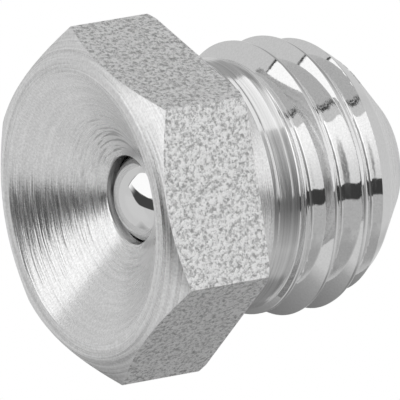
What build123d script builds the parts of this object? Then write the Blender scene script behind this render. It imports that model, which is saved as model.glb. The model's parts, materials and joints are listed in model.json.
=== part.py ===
"""Flush grease nipple: a funnel-type fitting with a metric fine thread.

One turned hexagon bar carries everything: the funnel that a grease gun's nozzle is pressed
into, the sprung ball that closes the bore behind it, and the thread that holds the nipple in
its tapped hole. The origin is the middle of the thread's tip, and +Z runs along the bore
towards the funnel. Lengths are in millimetres and angles in degrees.
"""

import os
from math import atan2, ceil, cos, degrees, radians, sin, sqrt, tan

from build123d import *

# ---------------------------------------------------------------- driving dimensions

# hexagon head
ACROSS_FLATS = 8.8
HEAD_HEIGHT = 3.15
HEAD_CHAMFER_ANGLE = 30.0  # against the face, at both ends of the head
FACE_INSET = 0.19  # the flat front face ends this far inside the hexagon's flats
REAR_CHAMFER_WIDTH = 0.16  # what the light rear chamfer takes off the corners

# shank, from the head's bearing face down
SHANK_LENGTH = 6.35
UNDERHEAD_RISE = 0.3  # above the shoulder, at the wide end of the cone under the head
UNDERHEAD_CONE_LENGTH = 0.85
SHOULDER_RISE = 0.08  # above the neck
SHOULDER_LENGTH = 0.14
SHOULDER_STEP_LENGTH = 0.08
NECK_RELIEF = 0.35  # below the thread's crest
NECK_LENGTH = 0.78
THREAD_RISE_ANGLE = 30.0  # against the axis, from the neck up to the thread's crest

# right-hand thread
THREAD_MAJOR_DIA = 7.9
THREAD_PITCH = 1.0
THREAD_FLANK_ANGLE = 30.0  # each flank, against a plane square to the axis
THREAD_ADDENDUM = 0.29  # from the pitch line out to the crest
THREAD_DEDENDUM = 0.3  # from the pitch line in to the flat root
RUNOUT_START = 3.0  # below the bearing face, where the cutter starts to draw out
RUNOUT_TURNS = 1.5
RUNOUT_RISE = 0.28  # per turn

# tip
TIP_DIA = 3.72  # flat ring that the nipple can stand on
NOSE_ANGLE = 48.6  # against the axis
NOSE_RELIEF = 0.09  # the nose cone ends this far inside the thread's root
NOSE_BLEND_RADIUS = 0.8
LEAD_CHAMFER_ANGLE = 36.5  # against the axis

# passage, from the front face down
FACE_RING_WIDTH = 0.35  # of the flat face round the funnel
FUNNEL_ANGLE = 58.0  # against the axis
MOUTH_LENGTH = 0.335  # straight bore between the funnel and the ball's seat
MOUTH_EDGE_RADIUS = 0.08
SEAT_ANGLE = 30.0  # against the axis
SEAT_LAND = 0.066  # of the seat, inside the circle where the ball touches it
LIP_THICKNESS = 0.6  # rolled-in lip that holds the spring
OUTLET_DIA = 2.1

# valve
BALL_DIA = 3.0
BALL_SIDE_CLEARANCE = 0.12  # to the chamber's wall
SEAT_CLEARANCE = 0.02
SPRING_WIRE_DIA = 0.32
WIRE_SIDES = 8  # the round wire is drawn as an octagon, to keep its helix light
SPRING_SIDE_CLEARANCE = 0.26  # to the chamber's wall
SPRING_ACTIVE_TURNS = 4
SPRING_CLOSED_PITCH = 0.34
SPRING_GRIND = 0.08  # ground off each end coil to make it flat
SPRING_BALL_CLEARANCE = 0.03

CUTTER_OVERREACH = 0.05  # how far a cutter passes the skin that it opens

# ---------------------------------------------------------------- derived sizes

total_length = SHANK_LENGTH + HEAD_HEIGHT
head_corner_r = ACROSS_FLATS / 2 / cos(radians(30))
bearing_r = head_corner_r - REAR_CHAMFER_WIDTH
face_r = ACROSS_FLATS / 2 - FACE_INSET
funnel_r = face_r - FACE_RING_WIDTH

crest_r = THREAD_MAJOR_DIA / 2
pitch_r = crest_r - THREAD_ADDENDUM
root_r = pitch_r - THREAD_DEDENDUM
neck_r = crest_r - NECK_RELIEF
shoulder_r = neck_r + SHOULDER_RISE
underhead_r = shoulder_r + UNDERHEAD_RISE
tip_r = TIP_DIA / 2
nose_r = root_r - NOSE_RELIEF

shoulder_top_z = SHANK_LENGTH - UNDERHEAD_CONE_LENGTH
shoulder_end_z = shoulder_top_z - SHOULDER_LENGTH
neck_top_z = shoulder_end_z - SHOULDER_STEP_LENGTH
neck_end_z = neck_top_z - NECK_LENGTH
thread_top_z = neck_end_z - NECK_RELIEF / tan(radians(THREAD_RISE_ANGLE))
nose_top_z = (nose_r - tip_r) / tan(radians(NOSE_ANGLE))
lead_top_z = nose_top_z + (crest_r - nose_r) / tan(radians(LEAD_CHAMFER_ANGLE))

# thread groove: it is half a pitch wide at the pitch line, and its root is cut off flat
flank_slope = tan(radians(THREAD_FLANK_ANGLE))
cutter_r = crest_r + CUTTER_OVERREACH
root_half = THREAD_PITCH / 4 - THREAD_DEDENDUM * flank_slope
lid_half = THREAD_PITCH / 4 + (cutter_r - pitch_r) * flank_slope
runout_z = SHANK_LENGTH - RUNOUT_START
full_turns = ceil(runout_z / THREAD_PITCH)
runout_cone = atan2(RUNOUT_RISE, THREAD_PITCH)

# mouth, seat cone and ball: the ball nearly touches the seat at contact_r
ball_r = BALL_DIA / 2
seat = radians(SEAT_ANGLE)
contact_r = (ball_r + SEAT_CLEARANCE) * cos(seat)
mouth_r = contact_r - SEAT_LAND
chamber_r = ball_r + BALL_SIDE_CLEARANCE
funnel_bottom_z = total_length - (funnel_r - mouth_r) / tan(radians(FUNNEL_ANGLE))
seat_top_z = funnel_bottom_z - MOUTH_LENGTH
contact_z = seat_top_z - SEAT_LAND / tan(seat)
seat_bottom_z = contact_z - (chamber_r - contact_r) / tan(seat)
ball_z = contact_z - (ball_r + SEAT_CLEARANCE) * sin(seat)

# spring: it stands on the lip, and its last coil carries the ball
wire_r = SPRING_WIRE_DIA / 2
spring_mean_r = chamber_r - SPRING_SIDE_CLEARANCE - wire_r
coil_reach = ball_r + wire_r + SPRING_BALL_CLEARANCE
spring_top_z = ball_z - sqrt(coil_reach**2 - spring_mean_r**2)
spring_bottom_z = LIP_THICKNESS + wire_r - SPRING_GRIND
active_bottom_z = spring_bottom_z + SPRING_CLOSED_PITCH
active_top_z = spring_top_z - SPRING_CLOSED_PITCH
active_pitch = (active_top_z - active_bottom_z) / SPRING_ACTIVE_TURNS


def draw_groove(middle_z):
    """Outline of the thread groove beside the axis, open side outwards."""
    Polyline(
        (cutter_r, middle_z + lid_half),
        (root_r, middle_z + root_half),
        (root_r, middle_z - root_half),
        (cutter_r, middle_z - lid_half),
        close=True,
    )


# ---------------------------------------------------------------- body

with BuildPart() as body:
    # hexagon bar, with two of its corners on the X axis
    with BuildSketch(Plane.XY.offset(SHANK_LENGTH)):
        RegularPolygon(ACROSS_FLATS / 2, 6, major_radius=False)
    extrude(amount=HEAD_HEIGHT)

    # both ends of the head are turned to flat cones that only the corners reach
    reach_r = head_corner_r + CUTTER_OVERREACH
    chamfer_slope = tan(radians(HEAD_CHAMFER_ANGLE))
    with BuildSketch(Plane.XZ):
        with BuildLine():
            Polyline(
                (0, SHANK_LENGTH),
                (bearing_r, SHANK_LENGTH),
                (reach_r, SHANK_LENGTH + (reach_r - bearing_r) * chamfer_slope),
                (reach_r, total_length - (reach_r - face_r) * chamfer_slope),
                (face_r, total_length),
                (0, total_length),
                close=True,
            )
        make_face()
    revolve(axis=Axis.Z, mode=Mode.INTERSECT)

    # shank blank: under-head cone, shoulder, neck, thread cylinder, lead chamfer and nose
    with BuildSketch(Plane.XZ):
        with BuildLine():
            Polyline(
                (0, 0),
                (tip_r, 0),
                (nose_r, nose_top_z),
                (crest_r, lead_top_z),
                (crest_r, thread_top_z),
                (neck_r, neck_end_z),
                (neck_r, neck_top_z),
                (shoulder_r, shoulder_end_z),
                (shoulder_r, shoulder_top_z),
                (underhead_r, SHANK_LENGTH),
                (0, SHANK_LENGTH),
                close=True,
            )
        blank = make_face()
        nose_corner = blank.vertices().sort_by_distance((nose_r, nose_top_z))[0]
        fillet(nose_corner, NOSE_BLEND_RADIUS)
    revolve(axis=Axis.Z)

    # thread groove at full depth, from below the tip up to where the cutter draws out
    full_start_z = runout_z - full_turns * THREAD_PITCH
    with BuildLine():
        Helix(THREAD_PITCH, full_turns * THREAD_PITCH, root_r, center=(0, 0, full_start_z))
    with BuildSketch(Plane.XZ):
        with BuildLine():
            draw_groove(full_start_z)
        make_face()
    sweep(is_frenet=True, mode=Mode.SUBTRACT)

    # run-out: the same cutter goes on along a cone and leaves the metal
    with BuildLine():
        Helix(
            THREAD_PITCH / cos(runout_cone),
            RUNOUT_TURNS * THREAD_PITCH,
            root_r,
            center=(0, 0, runout_z),
            cone_angle=degrees(runout_cone),
        )
    with BuildSketch(Plane.XZ):
        with BuildLine():
            draw_groove(runout_z)
        make_face()
    sweep(is_frenet=True, mode=Mode.SUBTRACT)

    # passage: funnel, mouth, ball seat, spring chamber and the lip at the outlet
    with BuildSketch(Plane.XZ):
        with BuildLine():
            Polyline(
                (0, -CUTTER_OVERREACH),
                (OUTLET_DIA / 2, -CUTTER_OVERREACH),
                (OUTLET_DIA / 2, LIP_THICKNESS),
                (chamber_r, LIP_THICKNESS),
                (chamber_r, seat_bottom_z),
                (mouth_r, seat_top_z),
                (mouth_r, funnel_bottom_z),
                (funnel_r, total_length),
                (0, total_length),
                close=True,
            )
        passage = make_face()
        mouth_edge = passage.vertices().sort_by_distance((mouth_r, funnel_bottom_z))[0]
        fillet(mouth_edge, MOUTH_EDGE_RADIUS)
    revolve(axis=Axis.Z, mode=Mode.SUBTRACT)

# ---------------------------------------------------------------- valve ball

with BuildPart() as valve_ball:
    with Locations((0, 0, ball_z)):
        Sphere(ball_r)

# ---------------------------------------------------------------- valve spring

with BuildPart() as valve_spring:
    # a closed coil, the working coils and a closed coil, which meet in the XZ plane
    for start_z, pitch, turns in (
        (spring_bottom_z, SPRING_CLOSED_PITCH, 1),
        (active_bottom_z, active_pitch, SPRING_ACTIVE_TURNS),
        (active_top_z, SPRING_CLOSED_PITCH, 1),
    ):
        with BuildLine():
            Helix(pitch, pitch * turns, spring_mean_r, center=(0, 0, start_z))
        with BuildSketch(Plane.XZ):
            with Locations((spring_mean_r, start_z)):
                RegularPolygon(wire_r, WIRE_SIDES)
        sweep(is_frenet=True)

    # both ends are ground flat
    split(bisect_by=Plane.XY.offset(LIP_THICKNESS), keep=Keep.TOP)
    split(bisect_by=Plane.XY.offset(spring_top_z + wire_r - SPRING_GRIND), keep=Keep.BOTTOM)

# ---------------------------------------------------------------- files

os.makedirs("parts", exist_ok=True)
for piece, label in (
    (body, "body"),
    (valve_ball, "valve_ball"),
    (valve_spring, "valve_spring"),
):
    piece.part.label = label
    export_step(piece.part, f"parts/{label}.step")
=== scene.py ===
# %% [markdown]
# # A grease nipple, step by step
# A grease nipple is a small turned part. It has a hexagon head with a wide conical mouth, a
# sprung ball that closes the bore behind the mouth, and a short thread. A grease gun is
# pushed into the cone, its pressure lifts the ball, and the grease goes through the part.
#
# The CAD model comes first, as a fixed frame. It holds the true sizes, and it says which
# pieces move: the ball and the spring slide along the axis, and the body stands still.
# Every new piece below is modelled over it, in the same place.

# %% Load the frame
import json
from math import cos, pi, radians, sin, tan

import bmesh
import bpy
import numpy as np
from mathutils import Matrix, Vector

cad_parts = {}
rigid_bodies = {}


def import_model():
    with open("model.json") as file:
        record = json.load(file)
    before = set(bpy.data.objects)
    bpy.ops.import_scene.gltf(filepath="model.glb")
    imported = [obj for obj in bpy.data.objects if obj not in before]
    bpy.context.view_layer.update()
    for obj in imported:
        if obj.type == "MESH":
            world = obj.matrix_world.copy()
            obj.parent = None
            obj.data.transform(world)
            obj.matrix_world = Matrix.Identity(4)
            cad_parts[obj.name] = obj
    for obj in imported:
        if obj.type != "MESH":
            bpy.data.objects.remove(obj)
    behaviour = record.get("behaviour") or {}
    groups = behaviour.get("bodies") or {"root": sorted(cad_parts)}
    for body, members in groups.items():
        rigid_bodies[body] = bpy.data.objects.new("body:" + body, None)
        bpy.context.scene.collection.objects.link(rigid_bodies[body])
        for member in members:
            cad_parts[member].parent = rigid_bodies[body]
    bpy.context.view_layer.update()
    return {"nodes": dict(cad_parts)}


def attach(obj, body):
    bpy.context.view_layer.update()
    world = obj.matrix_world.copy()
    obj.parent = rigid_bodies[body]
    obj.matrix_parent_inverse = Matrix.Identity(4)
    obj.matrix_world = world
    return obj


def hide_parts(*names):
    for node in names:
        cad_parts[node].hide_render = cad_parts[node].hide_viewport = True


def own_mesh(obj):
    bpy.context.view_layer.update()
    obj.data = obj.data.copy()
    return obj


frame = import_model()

print("solids to dress:", sorted(frame["nodes"]))

# %% [markdown]
# ## Working in millimetres
# The part is 9.5 mm long, and its finest edges are a few hundredths of a millimetre.
# Blender's tools round off lengths near that when a unit is a metre. So each piece is
# modelled with one unit for one millimetre, and shrunk to metres when it is finished. The
# shrinking is written into the mesh, so the finished object keeps its own origin, turn and
# size, and patterns that follow the object stay where they belong.
#
# An operator works on whatever is selected. `select_only` makes one piece the only one.

# %% Pick a piece, and finish it in metres
METRES_A_MM = 0.001


def select_only(piece):
    """Makes a piece the only selected one, and the active one."""
    if bpy.context.object and bpy.context.object.mode != "OBJECT":
        bpy.ops.object.mode_set(mode="OBJECT")
    bpy.ops.object.select_all(action="DESELECT")
    piece.select_set(True)
    bpy.context.view_layer.objects.active = piece


def to_metres(piece):
    """Writes a piece's place into its mesh, and shrinks it from millimetres to metres."""
    select_only(piece)
    bpy.ops.object.transform_apply(location=True, rotation=True, scale=True)
    piece.scale = (METRES_A_MM,) * 3
    bpy.ops.object.transform_apply(scale=True)
    size = [round(x / METRES_A_MM, 2) for x in piece.dimensions]
    print(piece.name, "is finished with", len(piece.data.polygons), "faces,", size, "mm")


print("pieces are modelled in millimetres, and shrunk by", METRES_A_MM)

# %% [markdown]
# ## The body's section
# A bar lathe turns the whole body, inside and out, round one axis. So the body is one
# section, spun. The section could be drawn as a curve, but a chain of points made by
# extruding a vertex keeps every corner at a known place. Each corner is then rounded with
# a vertex bevel: turned edges are broken by a tool or by tumbling, and never sharp.
#
# The outline goes up the outside from the tip to the hexagon, over the face, down the cone
# of the mouth, through the seat, and down the chamber where the spring sits.

# %% The corners of the section
TIP_R = 1.86
CREST_R = 3.95
NECK_R = 3.60
FLATS = 8.8
CORNER_R = 5.13
BEARING_Z = 6.35
LENGTH = 9.5

BODY_CORNERS = [  # radius, height, rounding
    (1.05, 0.0, 0.04),  # outlet
    (TIP_R, 0.0, 0.08),
    (3.25, 1.243, 0.8),  # end of the nose
    (3.72, 1.900, 0.4),  # lead-in of the thread
    (3.90, 2.420, 0.6),
    (CREST_R, 2.900, 0.5),
    (CREST_R, 3.960, 0.05),
    (3.77, 4.120, 0.05),  # last, half-formed crest
    (3.77, 4.420, 0.04),
    (NECK_R - 0.02, 4.500, 0.04),  # neck
    (NECK_R, 4.790, 0.25),
    (NECK_R, 5.215, 0.04),
    (3.655, 5.285, 0.04),  # shoulder
    (3.655, 5.420, 0.04),
    (3.98, BEARING_Z, 0.12),
    (4.921, BEARING_Z, 0.04),  # bearing face, and the rear chamfer of the head
    (CORNER_R, 6.471, 0.0),
    (CORNER_R, 8.969, 0.0),
    (4.21, LENGTH, 0.03),  # front chamfer
    (3.86, LENGTH, 0.03),  # face
    (1.25, 7.869, 0.08),  # cone of the mouth
    (1.25, 7.535, 0.05),
    (1.62, 6.893, 0.05),  # seat
    (1.62, 0.600, 0.05),  # chamber
    (1.05, 0.600, 0.04),
]


def turn_at(corners, i):
    """Angle by which a closed outline turns at one corner."""
    a, b, c = (Vector(corners[j % len(corners)][:2]) for j in (i - 1, i, i + 1))
    return (b - a).angle(c - b)


sharpest = max(turn_at(BODY_CORNERS, i) for i in range(len(BODY_CORNERS)))
print("section:", len(BODY_CORNERS), "corners, turning by", round(sharpest * 180 / pi), "at most")

# %% [markdown]
# A vertex that is extruded leaves an edge behind it, so a chain of moves draws the outline.
# One more edge closes it. A vertex bevel is told how far to cut back along both edges and
# not its radius, so that reach is worked out from the radius and the turn at the corner.

# %% Draw a section and round its corners


def draw_section(name, corners, segments=4):
    """A closed outline in the XZ plane, extruded point by point, with rounded corners."""
    bpy.ops.object.select_all(action="DESELECT")
    bpy.ops.mesh.primitive_plane_add(size=0.1, location=(corners[0][0], 0, corners[0][1]))
    piece = bpy.context.object
    piece.name = name
    bpy.ops.object.transform_apply(location=True)
    bpy.ops.object.mode_set(mode="EDIT")
    bpy.ops.mesh.select_mode(type="VERT")
    bpy.ops.mesh.merge(type="CENTER")
    for (r0, z0, _), (r1, z1, _) in zip(corners, corners[1:]):
        bpy.ops.mesh.extrude_vertices_move(
            TRANSFORM_OT_translate={"value": (r1 - r0, 0, z1 - z0)}
        )
    bpy.ops.mesh.select_all(action="SELECT")
    bm = bmesh.from_edit_mesh(piece.data)
    bm.edges.new([v for v in bm.verts if len(v.link_edges) == 1])
    bmesh.update_edit_mesh(piece.data)
    for i, (r, z, rounding) in enumerate(corners):
        if not rounding:
            continue
        bpy.ops.mesh.select_all(action="DESELECT")
        bm = bmesh.from_edit_mesh(piece.data)
        corner = min(bm.verts, key=lambda v: (v.co - Vector((r, 0, z))).length)
        corner.select = True
        bm.select_flush_mode()
        bmesh.update_edit_mesh(piece.data)
        reach = rounding * tan(turn_at(corners, i) / 2)
        bpy.ops.mesh.bevel(offset=reach, segments=segments, affect="VERTICES")
    bpy.ops.object.mode_set(mode="OBJECT")
    print(name, "section has", len(piece.data.vertices), "points")
    return piece


body = draw_section("nipple_body", BODY_CORNERS)

# %% [markdown]
# ## Rows for the thread
# The thread will be pressed into the shank by moving points, so the shank needs enough of
# them. Rows 0.02 mm apart give each flank about fifteen. Only the long edges of the shank
# are divided, so the rest of the body stays light.

# %% Divide the shank's edges
THREAD_LOW, THREAD_HIGH = 1.0, 4.62
ROW_SPACING = 0.02

select_only(body)
bpy.ops.object.mode_set(mode="EDIT")
bm = bmesh.from_edit_mesh(body.data)
shank_edges = [
    (e.verts[0].co.copy(), e.verts[1].co.copy())
    for e in bm.edges
    if all(v.co.x > 3 and THREAD_LOW < v.co.z < THREAD_HIGH for v in e.verts)
    and e.calc_length() > 1.5 * ROW_SPACING
]
for a, b in shank_edges:
    bpy.ops.mesh.select_all(action="DESELECT")
    bm = bmesh.from_edit_mesh(body.data)
    for e in bm.edges:
        if {tuple(v.co) for v in e.verts} == {tuple(a), tuple(b)}:
            e.select = True
    bmesh.update_edit_mesh(body.data)
    bpy.ops.mesh.subdivide(number_cuts=max(1, round((a - b).length / ROW_SPACING) - 1))
bpy.ops.object.mode_set(mode="OBJECT")
print("section with thread rows:", len(body.data.vertices), "points")

# %% [markdown]
# ## Turning
# `spin` carries the section once round the axis, as the lathe turns the bar past the tool.
# It leaves the last step lying on the first one and may leave the faces inside out, so
# doubles are merged first and the normals made to point outwards after that.

# %% Turn the section about the axis
TURNING_STEPS = 240

bpy.ops.object.mode_set(mode="EDIT")
bpy.ops.mesh.select_all(action="SELECT")
bpy.ops.mesh.spin(steps=TURNING_STEPS, angle=2 * pi, center=(0, 0, 0), axis=(0, 0, 1))
bpy.ops.mesh.select_all(action="SELECT")
bpy.ops.mesh.remove_doubles(threshold=0.0005)
bpy.ops.mesh.normals_make_consistent(inside=False)
bpy.ops.object.mode_set(mode="OBJECT")
print("turned body:", len(body.data.polygons), "faces")

# %% [markdown]
# ## The hexagon
# Real heads of this kind are made from hexagon bar. The flats are what is left of the drawn
# bar, and the chamfers cut across them in curved lines. Cutting a turned head with six
# planes gives the same curved lines without any drawing. A thin bevel then breaks the edges
# all round each flat, because a drawn corner has a small radius that catches the light.

# %% Cut the flats
bpy.ops.object.mode_set(mode="EDIT")
FLAT_ANGLES = [30 + 60 * k for k in range(6)]
for angle in FLAT_ANGLES:
    outwards = Vector((cos(radians(angle)), sin(radians(angle)), 0))
    bpy.ops.mesh.select_all(action="SELECT")
    bpy.ops.mesh.bisect(
        plane_co=outwards * FLATS / 2,
        plane_no=outwards,
        use_fill=True,
        clear_outer=True,
        threshold=0.00001,
    )
bpy.ops.object.mode_set(mode="OBJECT")
print("with six flats:", len(body.data.polygons), "faces")

# %% [markdown]
# The flats are the only large upright faces, so they can be picked by their normal and
# their area. All the edges round them are then bevelled at once.

# %% Break the edges of the flats
EDGE_BREAK = 0.055
UPRIGHT = 0.02  # a face is upright when its normal rises less than this
FLAT_AREA = 1.0  # square millimetres, more than any other upright face has


def is_flat(face):
    """Whether a face is one of the hexagon's flats."""
    return abs(face.normal.z) < UPRIGHT and face.calc_area() > FLAT_AREA


bpy.ops.object.mode_set(mode="EDIT")
bpy.ops.mesh.select_mode(type="EDGE")
bpy.ops.mesh.select_all(action="DESELECT")
bm = bmesh.from_edit_mesh(body.data)
for e in bm.edges:
    e.select = any(is_flat(f) for f in e.link_faces)
broken = sum(e.select for e in bm.edges)
bmesh.update_edit_mesh(body.data)
bpy.ops.mesh.bevel(
    offset=EDGE_BREAK, segments=2, profile=0.5, affect="EDGES", clamp_overlap=True
)
bpy.ops.object.mode_set(mode="OBJECT")
print("edges broken:", broken, "faces now:", len(body.data.polygons))

# %% [markdown]
# ## The thread
# The thread is rolled: hard dies press a helical groove into the shank, and the metal flows
# up between them. So the crests are soft on the side that faces the tip, and crisp on the
# other. Near the neck the groove climbs out of the metal, which is its run-out, and the
# last crest is only half formed.
#
# A groove swept as a tool and subtracted with a Boolean would leave long thin faces that
# spoil the reflections. Here the radius of each point is worked out from its angle and
# height instead, and the point is moved in or out.
#
# `groove_line` gives the middle and the depth of one turn of the groove. `softer` takes the
# lesser of two radii and eases over where they meet, which makes the soft corner.

# %% The shape of the groove
PITCH = 1.0
ROOT_R = 3.36
ROOT_HALF = 0.065
FLANK = tan(radians(30))
GROOVE_START = 3.305
CREST_SOFTNESS = 0.33
ROOT_SOFTNESS = 0.015
RUNOUT_FROM = 1.0  # turns at which the groove starts to climb out
RUNOUT_CLIMB = 0.6  # a turn
LAST_TURN = 1.6
OUT_OF_REACH = 9.0
GROOVE_TURNS = range(-4, 3)


def groove_line(theta, k):
    """Turns so far, middle height and root radius of turn k of the groove, at an angle."""
    turns = theta / (2 * pi) + k
    root = ROOT_R + RUNOUT_CLIMB * np.clip(turns - RUNOUT_FROM, 0, None)
    return turns, GROOVE_START + turns * PITCH, root


def softer(a, b, width):
    """The lesser of two radii, eased where they are within a width of each other."""
    near = np.clip(1 - np.abs(a - b) / width, 0, 1)
    return np.minimum(a, b) - near**2 * width / 4


def thread_radius(theta, z, blank):
    """Radius of the threaded surface, from the blank's own radius at that height."""
    radius = blank.copy()
    for k in GROOVE_TURNS:
        turns, middle, root = groove_line(theta, k)
        away = z - middle
        step = (np.abs(away) - ROOT_HALF) / FLANK
        groove = root + (step + np.sqrt(step**2 + ROOT_SOFTNESS**2)) / 2
        groove = np.where(turns > LAST_TURN, OUT_OF_REACH, groove)
        radius = np.where(
            away > 0, softer(radius, groove, CREST_SOFTNESS), np.minimum(radius, groove)
        )
    return np.minimum(radius, blank)


print("groove at the crest:", round(2 * (ROOT_HALF + (CREST_R - ROOT_R) * FLANK), 3), "mm wide")

# %% [markdown]
# The rows of points run level, and the groove climbs. Where an edge of the groove falls
# between two rows it would come out as small steps. So at every angle, the row nearest an
# edge of the groove is first moved onto it, and the faces are split along the diagonal
# that climbs with the thread. The crisp side of each crest then stays a clean line.

# %% Bring rows onto the groove's edges, then press the groove in
SHANK_INSIDE = 3.0  # the bore is nearer the axis than this, and the shank is not
SHANK_FOOT = 0.9
CREST_EDGES = 1.3, 3.94  # heights between which rows follow the crest's edge
ROOT_EDGES = 1.6, 4.38  # and the root's edges

points = np.empty(len(body.data.vertices) * 3)
body.data.vertices.foreach_get("co", points)
points = points.reshape(-1, 3)
reach = np.hypot(points[:, 0], points[:, 1])
shank = (reach > SHANK_INSIDE) & (points[:, 2] < THREAD_HIGH) & (points[:, 2] > SHANK_FOOT)
theta = np.arctan2(points[shank, 1], points[shank, 0])
z = points[shank, 2]
rows, first = np.unique(np.round(z, 5), return_index=True)
blank_r = reach[shank][first]
row = np.argmin(np.abs(z[:, None] - rows[None, :]), axis=1)
for k in GROOVE_TURNS:
    turns, middle, root = groove_line(theta, k)
    crest_edge = middle
    for _ in range(6):
        outside = np.interp(crest_edge, rows, blank_r)
        crest_edge = middle - ROOT_HALF - (outside - root) * FLANK
    for edge, (low, high) in (
        (crest_edge, CREST_EDGES),
        (middle - ROOT_HALF, ROOT_EDGES),
        (middle + ROOT_HALF, ROOT_EDGES),
    ):
        nearest = np.argmin(np.abs(edge[:, None] - rows[None, :]), axis=1)
        z = np.where((nearest == row) & (edge > low) & (edge < high), edge, z)
pressed = thread_radius(theta, z, reach[shank])
points[shank, 0] = pressed * np.cos(theta)
points[shank, 1] = pressed * np.sin(theta)
points[shank, 2] = z
body.data.vertices.foreach_set("co", points.ravel())
body.data.update()
print("groove pressed in, deepest", round(float((reach[shank] - pressed).max()), 3), "mm")

# %% [markdown]
# Splitting always along the same diagonal makes every edge climb with the thread. Faces
# are then shaded smooth up to 32 degrees, which keeps the groove's edges, and the flats are
# shaded flat. Last, the body is given its group, and replaces its solid.

# %% Split the shank along the climb, and shade
SPLIT_FROM = 1.5
HEAD_INSIDE = 4.2  # what stands upright on the head lies outside this radius

select_only(body)
bpy.ops.object.mode_set(mode="EDIT")
bpy.ops.mesh.select_mode(type="FACE")
bpy.ops.mesh.select_all(action="DESELECT")
bm = bmesh.from_edit_mesh(body.data)
for f in bm.faces:
    c = f.calc_center_median()
    f.select = SPLIT_FROM < c.z < THREAD_HIGH and Vector((c.x, c.y)).length > SHANK_INSIDE
bmesh.update_edit_mesh(body.data)
bpy.ops.mesh.quads_convert_to_tris(quad_method="FIXED")
bpy.ops.object.mode_set(mode="OBJECT")
bpy.ops.object.shade_smooth_by_angle(angle=radians(32))
bpy.ops.object.mode_set(mode="EDIT")
bpy.ops.mesh.select_all(action="DESELECT")
bm = bmesh.from_edit_mesh(body.data)
for f in bm.faces:
    c = f.calc_center_median()
    outside = Vector((c.x, c.y)).length > HEAD_INSIDE
    f.select = abs(f.normal.z) < UPRIGHT and c.z > BEARING_Z and outside
bmesh.update_edit_mesh(body.data)
bpy.ops.mesh.faces_shade_flat()
bpy.ops.object.mode_set(mode="OBJECT")
to_metres(body)
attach(body, "nipple")
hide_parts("body")

# %% [markdown]
# ## The ball
# The valve ball is ground and lapped, and is truly round. A UV sphere has poles where its
# faces crowd together, and the mouth shows one of them. A cube whose points are all pushed
# out to the ball's radius has no poles, so its shine is even all round.

# %% Make the ball from a cube
BALL_R = 1.5
BALL_Z = 6.66

bpy.ops.object.select_all(action="DESELECT")
bpy.ops.mesh.primitive_cube_add(size=2 * BALL_R, location=(0, 0, BALL_Z))
ball = bpy.context.object
ball.name = "check_ball"
bpy.ops.object.mode_set(mode="EDIT")
bpy.ops.mesh.select_all(action="SELECT")
bpy.ops.mesh.subdivide(number_cuts=31)
bpy.ops.object.mode_set(mode="OBJECT")
for v in ball.data.vertices:
    grid = [tan(x / BALL_R * pi / 4) for x in v.co]
    v.co = Vector(grid).normalized() * BALL_R
bpy.ops.object.shade_smooth()
to_metres(ball)
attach(ball, "check_ball")
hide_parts("valve_ball")

# %% [markdown]
# ## The spring
# The spring behind the ball is wound from round wire. At each end one coil lies almost
# closed, so that the spring stands straight, and the end is ground flat. A circle of wire
# is screwed up the axis with an even pitch. Its rows are then moved to the real heights:
# close at both ends and open between.

# %% Wind the spring
WIRE_R = 0.16
COIL_R = 1.2
FOOT_Z = 0.60  # the spring stands here
HEAD_Z = 5.55  # and carries the ball here
GRIND = 0.08  # ground off each end
CLOSED_PITCH = 0.34
TURNS = 6
WIRE_SIDES = 16
STEPS_A_TURN = 60

bpy.ops.object.select_all(action="DESELECT")
bpy.ops.mesh.primitive_circle_add(
    vertices=WIRE_SIDES, radius=WIRE_R, location=(COIL_R, 0, 0), rotation=(pi / 2, 0, 0)
)
coil = bpy.context.object
coil.name = "valve_coil"
select_only(coil)
bpy.ops.object.transform_apply(location=True, rotation=True)
bpy.ops.object.modifier_add(type="SCREW")
screw = coil.modifiers[0]
screw.axis = "Z"
screw.angle = 2 * pi
screw.screw_offset = 1.0
screw.iterations = TURNS
screw.steps = screw.render_steps = STEPS_A_TURN
screw.use_normal_calculate = True
bpy.ops.object.modifier_apply(modifier=screw.name)

first = FOOT_Z + WIRE_R - GRIND
last = HEAD_Z - WIRE_R + GRIND
open_pitch = (last - first - 2 * CLOSED_PITCH) / (TURNS - 2)
for i, v in enumerate(coil.data.vertices):
    turns_up = i // WIRE_SIDES / STEPS_A_TURN
    climbed = CLOSED_PITCH * min(turns_up, 1)
    climbed += open_pitch * min(max(turns_up - 1, 0), TURNS - 2)
    climbed += CLOSED_PITCH * max(turns_up - TURNS + 1, 0)
    v.co.z += first + climbed - turns_up
print("wire makes", TURNS, "turns, open ones", round(open_pitch, 3), "mm apart")

# %% [markdown]
# The ends of the wire are capped, and then ground: a level cut at the foot and another at
# the head take off what stands over, and fill the cut.

bpy.ops.object.mode_set(mode="EDIT")
bpy.ops.mesh.select_all(action="SELECT")
bpy.ops.mesh.fill_holes(sides=0)
for level, side in ((FOOT_Z, {"clear_inner": True}), (HEAD_Z, {"clear_outer": True})):
    bpy.ops.mesh.select_all(action="SELECT")
    bpy.ops.mesh.bisect(plane_co=(0, 0, level), plane_no=(0, 0, 1), use_fill=True, **side)
bpy.ops.mesh.select_all(action="SELECT")
bpy.ops.mesh.normals_make_consistent(inside=False)
bpy.ops.object.mode_set(mode="OBJECT")
bpy.ops.object.shade_smooth_by_angle(angle=radians(40))
to_metres(coil)
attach(coil, "nipple")
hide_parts("valve_spring")
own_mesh(coil)

# %% [markdown]
# ## Building finishes
# Every finish here is bare or bright-plated metal, so its look is what it reflects, and the
# fine marks that spread the reflection. The colours stay pale and near grey. `metal` makes
# the material and its shader, and `add` adds a node and wires or sets its inputs. The
# others give a point's place, and do one step of arithmetic.

# %% Helpers for the finishes
PALE = (0.80, 0.80, 0.80)


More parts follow.
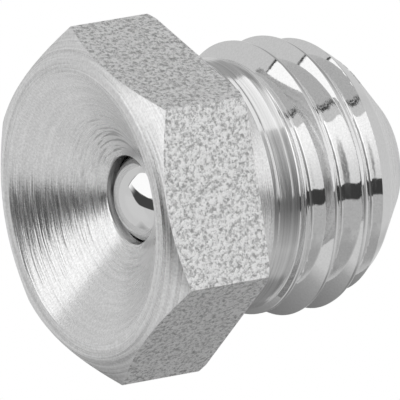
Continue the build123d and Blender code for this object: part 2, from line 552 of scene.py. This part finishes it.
def metal(name, color, roughness):
    """A metal finish, with its node tree and its shader."""
    finish = bpy.data.materials.new(name)
    finish.use_nodes = True
    shader = finish.node_tree.nodes["Principled BSDF"]
    shader.inputs["Base Color"].default_value = (*color, 1)
    shader.inputs["Metallic"].default_value = 1.0
    shader.inputs["Roughness"].default_value = roughness
    return finish, finish.node_tree, shader


def add(tree, kind, inputs, **settings):
    """Adds a node with its settings, and sets or wires each of its inputs."""
    n = tree.nodes.new("ShaderNode" + kind)
    for key, value in settings.items():
        setattr(n, key, value)
    for socket, value in inputs.items():
        if isinstance(value, bpy.types.NodeSocket):
            tree.links.new(value, n.inputs[socket])
        else:
            n.inputs[socket].default_value = value
    return n


def on_piece(tree):
    """Place of a point on its piece, in metres."""
    return add(tree, "TexCoord", {}).outputs["Object"]


def reckon(tree, operation, *values):
    """One step of arithmetic on patterns and numbers."""
    return add(tree, "Math", dict(enumerate(values)), operation=operation).outputs[0]


def along_way(tree, vector, way):
    """How far a vector goes along a given way."""
    return add(tree, "VectorMath", {0: vector, 1: way}, operation="DOT_PRODUCT").outputs["Value"]


print("the metals start from a grey of", PALE[0])

# %% [markdown]
# Two kinds of marks are needed: marks that run round the axis, from turning, and marks
# that spread evenly over a surface, from drawing and blasting. `around_axis` gives the
# place of a point as its radius, its height, and its direction from the axis. A pattern
# that is fine along the first two and coarse along the last is a set of turned rings.

# %% Patterns of marks


def around_axis(tree):
    """Radius and height in millimetres, and direction from the axis, of a point."""
    place = on_piece(tree)
    flat = add(tree, "VectorMath", {0: place, 1: (1000, 1000, 0)}, operation="MULTIPLY")
    radius = add(tree, "VectorMath", {0: flat.outputs[0]}, operation="LENGTH").outputs["Value"]
    way = add(tree, "VectorMath", {0: flat.outputs[0]}, operation="NORMALIZE").outputs[0]
    return radius, along_way(tree, place, (0, 0, 1000)), way


def facing(tree, way):
    """How far a point's side of the axis faces a given way, from -1 to 1."""
    return along_way(tree, around_axis(tree)[2], way)


def rings(tree, per_mm, drift, detail=2.0):
    """Turned rings: so many to a millimetre, drifting slowly as they go round."""
    radius, height, way = around_axis(tree)
    side = add(tree, "VectorMath", {0: way, "Scale": drift}, operation="SCALE").outputs[0]
    out = reckon(tree, "MULTIPLY", radius, per_mm)
    up = reckon(tree, "MULTIPLY", height, per_mm)
    spot = add(tree, "CombineXYZ", {"X": out, "Y": out, "Z": up}).outputs[0]
    spot = add(tree, "VectorMath", {0: spot, 1: side}, operation="ADD").outputs[0]
    grain = {"Vector": spot, "Scale": 1.0, "Detail": detail, "Roughness": 0.6}
    return add(tree, "TexNoise", grain).outputs["Fac"]


def noise(tree, per_metre, detail=1.0, **more):
    """An even pattern with no direction, so many marks to a metre."""
    grain = {"Vector": on_piece(tree), "Scale": per_metre, "Detail": detail, **more}
    return add(tree, "TexNoise", grain).outputs["Fac"]


print("patterns: turned rings, even noise, and which way a point faces")

# %% [markdown]
# A pattern does nothing until it drives something. `spread` fits it to the range that is
# wanted, and the three helpers after it make it the metal's grey, its roughness, or the
# height of fine marks.

# %% What a pattern drives


def spread(tree, value, low, high, start, end):
    """Turns a pattern's value into a range, and holds it inside that range."""
    ends = {"Value": value, "From Min": low, "From Max": high, "To Min": start, "To Max": end}
    return add(tree, "MapRange", ends).outputs["Result"]


def paint_grey(tree, shader, tone):
    """Makes a pattern the grey of the metal."""
    grey = add(tree, "CombineColor", {"Red": tone, "Green": tone, "Blue": tone}).outputs[0]
    tree.links.new(grey, shader.inputs["Base Color"])


def roughen(tree, shader, roughness):
    """Makes a pattern the roughness of the metal."""
    tree.links.new(roughness, shader.inputs["Roughness"])


def raise_marks(tree, shader, height, depth_mm):
    """Gives the surface marks of a depth, from a pattern between 0 and 1."""
    bump = add(tree, "Bump", {"Height": height, "Strength": 1.0, "Distance": depth_mm / 1000})
    tree.links.new(bump.outputs["Normal"], shader.inputs["Normal"])


print("a pattern can drive grey, roughness and marks")

# %% [markdown]
# ## Turned steel
# The cone comes straight from the tool. It carries fine rings, some deeper than others. Two
# sets are mixed: fine ones for the feed of the tool, and coarser ones that make the broad
# streaks, with an even grain over both.
#
# A mirror-like cone throws its dark wedge to where its slope says. Here the marks are given
# a slight slope of their own, `lean`, which turns the wedge by a few degrees and leaves the
# shape alone. It is strongest near the bore.
#
# Near the bore the metal is blunter on one side, and on another side the tool chattered and
# left short darker arcs, `scored`. Both are masks by radius and direction.

# %% The turned finish
CONE_LEAN = 0.047  # slope of the marks
MARK_DEPTH = 0.0060
BLUNT_SIDE = (0.2, -1, 0)
SCORED_SIDE = (1, -0.1, 0)

turned, tree, shader = metal("turned steel", PALE, 0.14)
radius = around_axis(tree)[0]
fine = rings(tree, 15.0, 3.0, detail=1.0)
broad = rings(tree, 6.0, 2.2, detail=2.0)
grain = noise(tree, 16000.0)
marks = reckon(tree, "MULTIPLY_ADD", broad, 2.2, fine)
marks = reckon(tree, "MULTIPLY_ADD", grain, 0.25, marks)
lean = along_way(tree, on_piece(tree), (CONE_LEAN / MARK_DEPTH * 1000, 0, 0))
lean = reckon(tree, "MULTIPLY", lean, spread(tree, radius, 1.3, 3.7, 1.25, 0.7))
raise_marks(tree, shader, reckon(tree, "ADD", marks, lean), MARK_DEPTH)

near_bore = spread(tree, radius, 2.7, 1.9, 0.0, 0.15)
blunt = spread(tree, facing(tree, BLUNT_SIDE), -0.1, 0.5, 0.3, 1.0)
blunt = reckon(tree, "MULTIPLY", blunt, near_bore)
roughen(tree, shader, reckon(tree, "ADD", spread(tree, fine, 0.3, 0.7, 0.17, 0.28), blunt))

scored = spread(tree, facing(tree, SCORED_SIDE), 0.7, 0.98, 0.6, 2.2)
scored = reckon(tree, "MULTIPLY", scored, near_bore)
arcs = spread(tree, rings(tree, 9.0, 2.5, detail=1.0), 0.54, 0.61, 0, 1)
tone = spread(tree, broad, 0.3, 0.7, 0.76, 0.84)
tone = reckon(tree, "SUBTRACT", tone, reckon(tree, "MULTIPLY", arcs, scored))
tone = reckon(tree, "ADD", tone, spread(tree, grain, 0.3, 0.7, -0.07, 0.07))
paint_grey(tree, shader, tone)
print("turned steel:", len(tree.nodes), "nodes")

# %% [markdown]
# The face and the front chamfer are finished with a blunter tool. They are duller than the
# cone, with bolder rings and a fine grain over them.

# %% The finish of the face and the chamfers
faced, tree, shader = metal("faced steel", PALE, 0.30)
bold = rings(tree, 9.0, 1.2, detail=3.0)
grain = noise(tree, 15000.0)
raise_marks(tree, shader, reckon(tree, "MULTIPLY_ADD", grain, 0.4, bold), 0.0090)
tone = spread(tree, bold, 0.35, 0.65, 0.67, 0.90)
tone = reckon(tree, "ADD", tone, spread(tree, grain, 0.3, 0.7, -0.08, 0.08))
paint_grey(tree, shader, tone)
roughen(tree, shader, spread(tree, bold, 0.35, 0.65, 0.26, 0.38))
print("faced steel:", len(tree.nodes), "nodes")

# %% [markdown]
# The neck behind the head is cut with a narrow tool, which leaves a smoother ground with
# long lines that go all the way round. They hardly drift. They are mostly slopes, with a
# slight change of grey, so where the room is even they nearly vanish.

# %% The finish of the neck
grooved, tree, shader = metal("turned neck", PALE, 0.12)
lines = rings(tree, 8.0, 0.3, detail=2.5)
soft = rings(tree, 18.0, 2.5, detail=1.0)
raise_marks(tree, shader, reckon(tree, "MULTIPLY_ADD", lines, 2.0, soft), 0.0011)
paint_grey(tree, shader, spread(tree, lines, 0.35, 0.60, 0.66, 0.88))
roughen(tree, shader, spread(tree, soft, 0.3, 0.7, 0.08, 0.18))
print("turned neck:", len(tree.nodes), "nodes")

# %% [markdown]
# The short straight bore behind the cone is different. Most of the way round its grey is darker
# than the cone's. One side is painted lighter: painted light, standing in for a brighter
# reflection there.

# %% The finish of the bore, with painted light on one side
bore_finish, tree, shader = metal("bore, painted lighter on one side", (0.34, 0.34, 0.34), 0.25)
scuff = rings(tree, 9.0, 1.5)
raise_marks(tree, shader, scuff, 0.004)
# painted light: the side facing this way is painted up to 0.4 lighter, for a brighter reflection
# there
painted_light_side = spread(tree, facing(tree, (-1, 0.1, 0)), 0.4, 0.9, 0, 0.4)
paint_grey(tree, shader, reckon(tree, "ADD", spread(tree, scuff, 0.3, 0.7, 0.22, 0.50), painted_light_side))
print("bore, painted lighter on one side:", len(tree.nodes), "nodes")

# %% [markdown]
# ## Rolled thread
# Rolling burnishes the metal against polished dies, so the thread is the brightest part. It
# is almost a mirror, with a faint waviness that makes long reflections a little uneven.

# %% The rolled finish
rolled, tree, shader = metal("rolled thread", PALE, 0.04)
wave = noise(tree, 9000.0)
swell = noise(tree, 1500.0, detail=0.0)
raise_marks(tree, shader, reckon(tree, "MULTIPLY_ADD", swell, 1.5, wave), 0.0004)
roughen(tree, shader, spread(tree, wave, 0.35, 0.65, 0.03, 0.06))
paint_grey(tree, shader, spread(tree, noise(tree, 17000.0), 0.3, 0.7, 0.77, 0.83))
print("rolled thread:", len(tree.nodes), "nodes")

# %% [markdown]
# ## Drawn flats
# The flats still have the skin of the drawn bar: a dull, even grey with small dark pits,
# which the plating follows. The pits are the low parts of a noise whose shapes are bent by
# another one, so that they look like short worms and not like round dots.

# %% The drawn finish
drawn, tree, shader = metal("drawn flats", PALE, 0.40)
pits = noise(tree, 8800.0, detail=3.5, Roughness=0.78, Distortion=0.2)
grain = noise(tree, 21000.0)
skin = spread(tree, pits, 0.37, 0.57, 0.0, 1.0)
relief = reckon(tree, "MULTIPLY_ADD", grain, 0.4, skin)
raise_marks(tree, shader, relief, 0.010)
paint_grey(tree, shader, spread(tree, relief, 0.22, 1.15, 0.42, 0.99))
roughen(tree, shader, spread(tree, grain, 0.3, 0.7, 0.34, 0.46))
print("drawn flats:", len(tree.nodes), "nodes")

# %% [markdown]
# ## Polished ball and spring wire
# The ball is lapped to a mirror, with only a few hairlines from use. The spring is drawn
# wire with a soft shine and fine lines.

# %% The ball's and the spring's finishes
polished, tree, shader = metal("polished ball", (0.82, 0.82, 0.82), 0.03)
hair = noise(tree, 9000.0, detail=2.0)
roughen(tree, shader, spread(tree, hair, 0.4, 0.7, 0.02, 0.07))
raise_marks(tree, shader, hair, 0.0002)

wire, tree, shader = metal("spring wire", (0.62, 0.62, 0.63), 0.28)
lines = rings(tree, 40.0, 2.0)
roughen(tree, shader, spread(tree, lines, 0.3, 0.7, 0.20, 0.36))
raise_marks(tree, shader, lines, 0.002)
print("finishes so far:", sorted(m.name for m in bpy.data.materials))

# %% [markdown]
# The body has six finishes. Each piece of the surface takes one by its place: the hexagon's
# flats, the face and chamfers, the cone, the short bore, the neck, and the rolled shank.
# The thin bevels between the flats are as bright as the thread, and catch the light.

# %% Give each face its finish
TURNED, ROLLED, DRAWN, BORE_FINISH, GROOVED, FACED = range(6)
ROLLED_HEIGHTS = 1.2, 4.55
NECK_HEIGHTS = 4.5, 5.6
BORE_HEIGHTS = 7.5, 7.85
BORE_SKIN = 1.26  # the bore's wall is inside this radius
SHANK_SKIN = 2.9  # below the head, what is outside this radius is the shank's skin
NECK_OUTSIDE = 3.72
FACE_INSIDE = 3.85
FACE_SLOPE = 0.25  # the face and the chamfers rise or fall at least this much


def within(value, ends):
    """Whether a value lies between two ends."""
    return ends[0] < value < ends[1]


for finish in (turned, rolled, drawn, bore_finish, grooved, faced):
    body.data.materials.append(finish)
counts = [0] * len(body.data.materials)
for face in body.data.polygons:
    c = face.center * 1000
    from_axis = Vector((c.x, c.y)).length
    if abs(face.normal.z) < UPRIGHT and c.z > BEARING_Z and from_axis > HEAD_INSIDE:
        face.material_index = DRAWN if face.area * 1e6 > FLAT_AREA else ROLLED
    elif from_axis > SHANK_SKIN and within(c.z, ROLLED_HEIGHTS):
        face.material_index = ROLLED
    elif from_axis < BORE_SKIN and within(c.z, BORE_HEIGHTS):
        face.material_index = BORE_FINISH
    elif SHANK_SKIN < from_axis < NECK_OUTSIDE and within(c.z, NECK_HEIGHTS):
        face.material_index = GROOVED
    elif from_axis > FACE_INSIDE and c.z > 6.3 and abs(face.normal.z) > FACE_SLOPE:
        face.material_index = FACED
    else:
        face.material_index = TURNED
    counts[face.material_index] += 1
ball.data.materials.append(polished)
coil.data.materials.append(wire)
print("faces turned, rolled, drawn, rubbed, grooved, faced:", counts)

# %% [markdown]
# ## The camera
# The part lies on its side, seen from in front of its face and a little to one side,
# through a long lens that hardly narrows with distance. The camera is given as a turn, a
# shift and a focal length, in a frame of its own: its unit is 1/1.0227 mm, and its origin
# is in the middle of the part's face. `to_part` turns that frame into the part's.

# %% Set the camera
PICTURE_WIDTH = 400  # pixels
SENSOR_WIDTH = 36  # millimetres
UNITS_PER_MM = 1.0227
CAMERA_TURN = (-2.6428665988364095, 0.1522434588099497, 1.4720398315456185)
CAMERA_SHIFT = Vector((-3.3956639704423903, 0.24473600067130918, 400.0))
FOCAL_PIXELS = 13989.249284961386
turn = Matrix.Rotation(Vector(CAMERA_TURN).length, 3, Vector(CAMERA_TURN))


def to_part(v):
    """Turns a direction from the camera's frame of reference into the part's."""
    return Vector((v.y, -v.x, v.z))


eye = to_part(-(turn.transposed() @ CAMERA_SHIFT)) / UNITS_PER_MM + Vector((0, 0, LENGTH))
right, down, ahead = (to_part(turn[i]) for i in range(3))
camera = bpy.data.objects.new("camera", bpy.data.cameras.new("camera"))
bpy.context.scene.collection.objects.link(camera)
camera.data.sensor_width = SENSOR_WIDTH
camera.data.lens = FOCAL_PIXELS / PICTURE_WIDTH * SENSOR_WIDTH
camera.matrix_world = Matrix.Translation(eye * METRES_A_MM) @ Matrix(
    (right, -down, -ahead)
).transposed().to_4x4()
camera.data.clip_start = 0.01
camera.data.clip_end = 10
bpy.context.scene.camera = camera
print("camera is", round(eye.length), "mm away, lens", round(camera.data.lens), "mm")

# %% [markdown]
# ## The studio
# Polished metal shows the room, so the room is the light. A product studio wraps the part
# in white sheets and puts black card in the gaps, and the thread shows both as clean
# stripes. Here the sheets and cards are painted on the world, by compass bearing round the
# part and by height above its horizon, both in degrees. `panel` masks one of them, and
# `lay` paints it over what is behind.

# %% Tools for painting the room
scene = bpy.context.scene
scene.view_settings.view_transform = "Standard"
world = bpy.data.worlds.new("studio")
scene.world = world
world.use_nodes = True
room = world.node_tree
room.nodes.clear()
outlook = add(room, "TexCoord", {}).outputs["Generated"]


def sums(operation, *values):
    """One step of arithmetic on the room's values."""
    return reckon(room, operation, *values)


def along(direction):
    """How far the looked-at direction goes along a given one, from -1 to 1."""
    return along_way(room, outlook, direction)


def ease(x, low, high, start=0.0, end=1.0):
    """Goes softly from start to end as x goes from low to high."""
    ends = {"Value": x, "From Min": low, "From Max": high, "To Min": start, "To Max": end}
    return add(room, "MapRange", ends, interpolation_type="SMOOTHSTEP").outputs["Result"]


east, north, up = along((1, 0, 0)), along((0, 1, 0)), along((0, 0, 1))
compass = sums("MULTIPLY", sums("ARCTAN2", north, east), 180 / pi)
height = sums("MULTIPLY", sums("ARCSINE", up), 180 / pi)


def from_bearing(bearing):
    """Angle from a bearing to the looked-at one, the short way round."""
    return sums("WRAP", sums("SUBTRACT", compass, bearing), 180.0, -180.0)


def window(x, low, high, soft):
    """One between low and high, with soft edges."""
    return sums("MULTIPLY", ease(x, low - soft, low + soft), ease(x, high + soft, high - soft))


def panel(left, right, bottom, top, soft=2.0):
    """Mask of a sheet between two bearings and two heights."""
    middle = (left + right) / 2
    wide = window(from_bearing(middle), left - middle, right - middle, soft)
    return sums("MULTIPLY", wide, window(height, bottom, top, soft))


def lay(base, mask, value):
    """Paints a brightness over a base where the mask is one."""
    return sums("MULTIPLY_ADD", sums("SUBTRACT", value, base), mask, base)


print("the room has", len(room.nodes), "nodes before anything is hung in it")

# %% [markdown]
# The room starts as an even grey. Everything is then painted over it in turn, and what comes
# later hides what is below: the dim side, the table with its dark edge, the front sheet, and
# a narrow dark seam with torn edges where two sheets don't quite meet.

# %% Hang the sheets and cards
HORIZON = -27.5  # height at which the sheets meet the table
SHEET_TOP = 45
SHARP = 0.8  # softness of a cut edge, in degrees

light = 0.66
light = lay(light, panel(112, 172, -50, -4, 9), 0.26)  # dim side of the room
light = lay(light, panel(168, 200, -50, 20, 9), 0.50)
light = lay(light, panel(80, 180, 45, 100, 6), 0.70)
edge = ease(sums("ABSOLUTE", from_bearing(-110)), 4, 50, 0.17, 0.46)
light = lay(light, panel(-160, -50, -60, -20, 8), edge)  # dark edge of the table
light = lay(light, panel(-110, -30, -90, -38.5, SHARP), 0.95)  # table top
light = lay(light, panel(-150, -118, -90, -60, 6), 0.25)
light = lay(light, panel(4, 62, -62, -16, 6), 0.38)
front = ease(from_bearing(-80), -30, 25, 0.95, 1.4)
light = lay(light, panel(-150, 22, HORIZON, SHEET_TOP, SHARP), 0.62)
light = lay(light, panel(-111, -47, -26.5, 64, SHARP), front)  # front sheet
light = lay(light, panel(-47, -36, HORIZON, SHEET_TOP, SHARP), 0.80)
torn = add(room, "TexNoise", {"Vector": outlook, "Scale": 34.0, "Detail": 2.0}).outputs["Fac"]
torn = sums("MULTIPLY_ADD", sums("SUBTRACT", torn, 0.5), 16.0, from_bearing(-34.2))
seam = sums(
    "MULTIPLY", window(torn, -2.0, 2.0, SHARP), window(height, HORIZON, SHEET_TOP, SHARP)
)
light = lay(light, seam, 0.05)  # torn seam beside it
light = lay(light, panel(-45, 20, -38, HORIZON, SHARP), 1.05)
print("sheets and cards hung, the room has", len(room.nodes), "nodes")

# %% [markdown]
# The bright sheet overhead ends in a straight edge that runs across the room, and compass
# bearings can't follow it near the zenith. It is laid out by angle about a level line
# instead: `card_turn` is 0 at the horizon on one side, 90 overhead and 180 on the other.

# %% Hang the sheet overhead, with a narrow gap beside it
card_side = along((cos(radians(-30)), sin(radians(-30)), 0))
card_way = along((cos(radians(-120)), sin(radians(-120)), 0))
card_turn = sums("MULTIPLY", sums("ARCTAN2", up, card_way), 180 / pi)
gap = sums("MULTIPLY", panel(27, 60, 42, 62, SHARP), window(card_turn, 127.5, 130.7, 0.3))
light = lay(light, gap, 0.06)
overhead = panel(-95, 60, 42, 90, SHARP)
overhead = sums("MULTIPLY", overhead, ease(card_turn, 129.7, 129.1))
light = lay(light, overhead, 1.18)
print("sheet overhead hung, the room has", len(room.nodes), "nodes")

# %% [markdown]
# A long black card goes over the top, along the same line of angles, so that polished metal
# has something dark to reflect. Its two sides aren't parallel, so each is given as a
# distance across the strip that changes with the angle.
#
# Last, the camera sees plain white in place of the room, and the metal reflects the room.

# %% Hang the black card over the top
card_left = ease(card_turn, 25, 62, -0.03, -0.25)
card_left = sums("ADD", card_left, ease(card_turn, 86, 125, 0.0, 0.24))
card_right = ease(card_turn, 0, 50, 0.21, 0.135)
card = sums(
    "MULTIPLY",
    ease(sums("SUBTRACT", card_side, card_left), -0.01, 0.01),
    ease(sums("SUBTRACT", card_side, card_right), 0.01, -0.01),
)
card = sums("MULTIPLY", card, ease(card_turn, 132, 105))
card = sums("MULTIPLY", card, ease(card_turn, -35, -26))
light = lay(light, card, 0.062)
by_camera = add(room, "LightPath", {}).outputs["Is Camera Ray"]
back = add(room, "Background", {"Color": lay(light, by_camera, 1.0)})
add(room, "OutputWorld", {"Surface": back.outputs[0]})
print("the room is painted with", len(room.nodes), "nodes")

# %% [markdown]
# ## The floor
# The floor is plain white paper that is lit as brightly as the page. It lies under the
# tip. It is seen only by the camera, and only from above, so it neither fills the metal
# with its reflection nor hides the outlet from a look at it from below.

# %% Lay the floor
bpy.ops.object.select_all(action="DESELECT")
bpy.ops.mesh.primitive_plane_add(size=2, location=(0, 0, 0))
floor = bpy.context.object
floor.name = "floor"
paper = bpy.data.materials.new("white paper")
paper.use_nodes = True
tree = paper.node_tree
tree.nodes.clear()
seen = add(tree, "LightPath", {}).outputs["Is Camera Ray"]
below = add(tree, "NewGeometry", {}).outputs["Backfacing"]
above = {"operation": "SUBTRACT", "use_clamp": True}
shown = add(tree, "Math", {0: seen, 1: below}, **above).outputs[0]
clear = add(tree, "BsdfTransparent", {}).outputs[0]
glow = add(tree, "Emission", {"Strength": 1.0}).outputs[0]
mix = add(tree, "MixShader", {0: shown, 1: clear, 2: glow})
add(tree, "OutputMaterial", {"Surface": mix.outputs[0]})
floor.data.materials.append(paper)
print("floor is laid")

# %% [markdown]
# ## A card of painted shade
# The underside of the thread is close to what the part lies on, and that is in shade. A
# small grey card of painted shade stands beside the thread in place of that shaded ground,
# painted darker towards its foot, where the shade is deepest. The camera looks through the card,
# and only the metal reflects it.

# %% Stand the grey card
CARD_FOOT, CARD_HEAD = Vector((-0.005, 0.008, -0.001)), Vector((-0.0215, 0.008, 0.025))
CARD_WIDTH = 0.011
card_up = (CARD_HEAD - CARD_FOOT).normalized()
card_across = card_up.cross(Vector((0, 1, 0))).normalized()
bpy.ops.object.select_all(action="DESELECT")
bpy.ops.mesh.primitive_plane_add(size=1)
shade_card = bpy.context.object
shade_card.name = "painted_shade_card"
middle = (CARD_FOOT + CARD_HEAD) / 2
card_length = (CARD_HEAD - CARD_FOOT).length
for v in shade_card.data.vertices:
    v.co = middle + card_across * v.co.x * CARD_WIDTH + card_up * v.co.y * card_length
painted_shade_paper = bpy.data.materials.new("painted shade paper")
painted_shade_paper.use_nodes = True
tree = painted_shade_paper.node_tree
tree.nodes.clear()
place = on_piece(tree)


def along_card(way, start):
    """Distance in millimetres from a start point, measured along one way of the card."""
    away = add(tree, "VectorMath", {0: place, 1: tuple(start)}, operation="SUBTRACT")
    return along_way(tree, away.outputs[0], tuple(way * 1000))


rise = along_card(card_up, CARD_FOOT)
side = reckon(tree, "ABSOLUTE", along_card(card_across, middle))
shown = spread(tree, side, 5.5, 2.5, 0, 1)
shown = reckon(tree, "MULTIPLY", shown, spread(tree, rise, 30, 20, 0, 1))
seen = add(tree, "LightPath", {}).outputs["Is Camera Ray"]
shown = reckon(tree, "MULTIPLY", shown, reckon(tree, "SUBTRACT", 1.0, seen))
# painted shade: the card glows dimmer towards its foot, like shaded ground near the part
dim = add(tree, "Emission", {"Strength": spread(tree, rise, 4, 24, 0.20, 0.46)}).outputs[0]
clear = add(tree, "BsdfTransparent", {}).outputs[0]
mix = add(tree, "MixShader", {0: shown, 1: clear, 2: dim})
add(tree, "OutputMaterial", {"Surface": mix.outputs[0]})
shade_card.data.materials.append(painted_shade_paper)
print("grey card stands", [round(x * 1000, 1) for x in shade_card.dimensions], "mm")
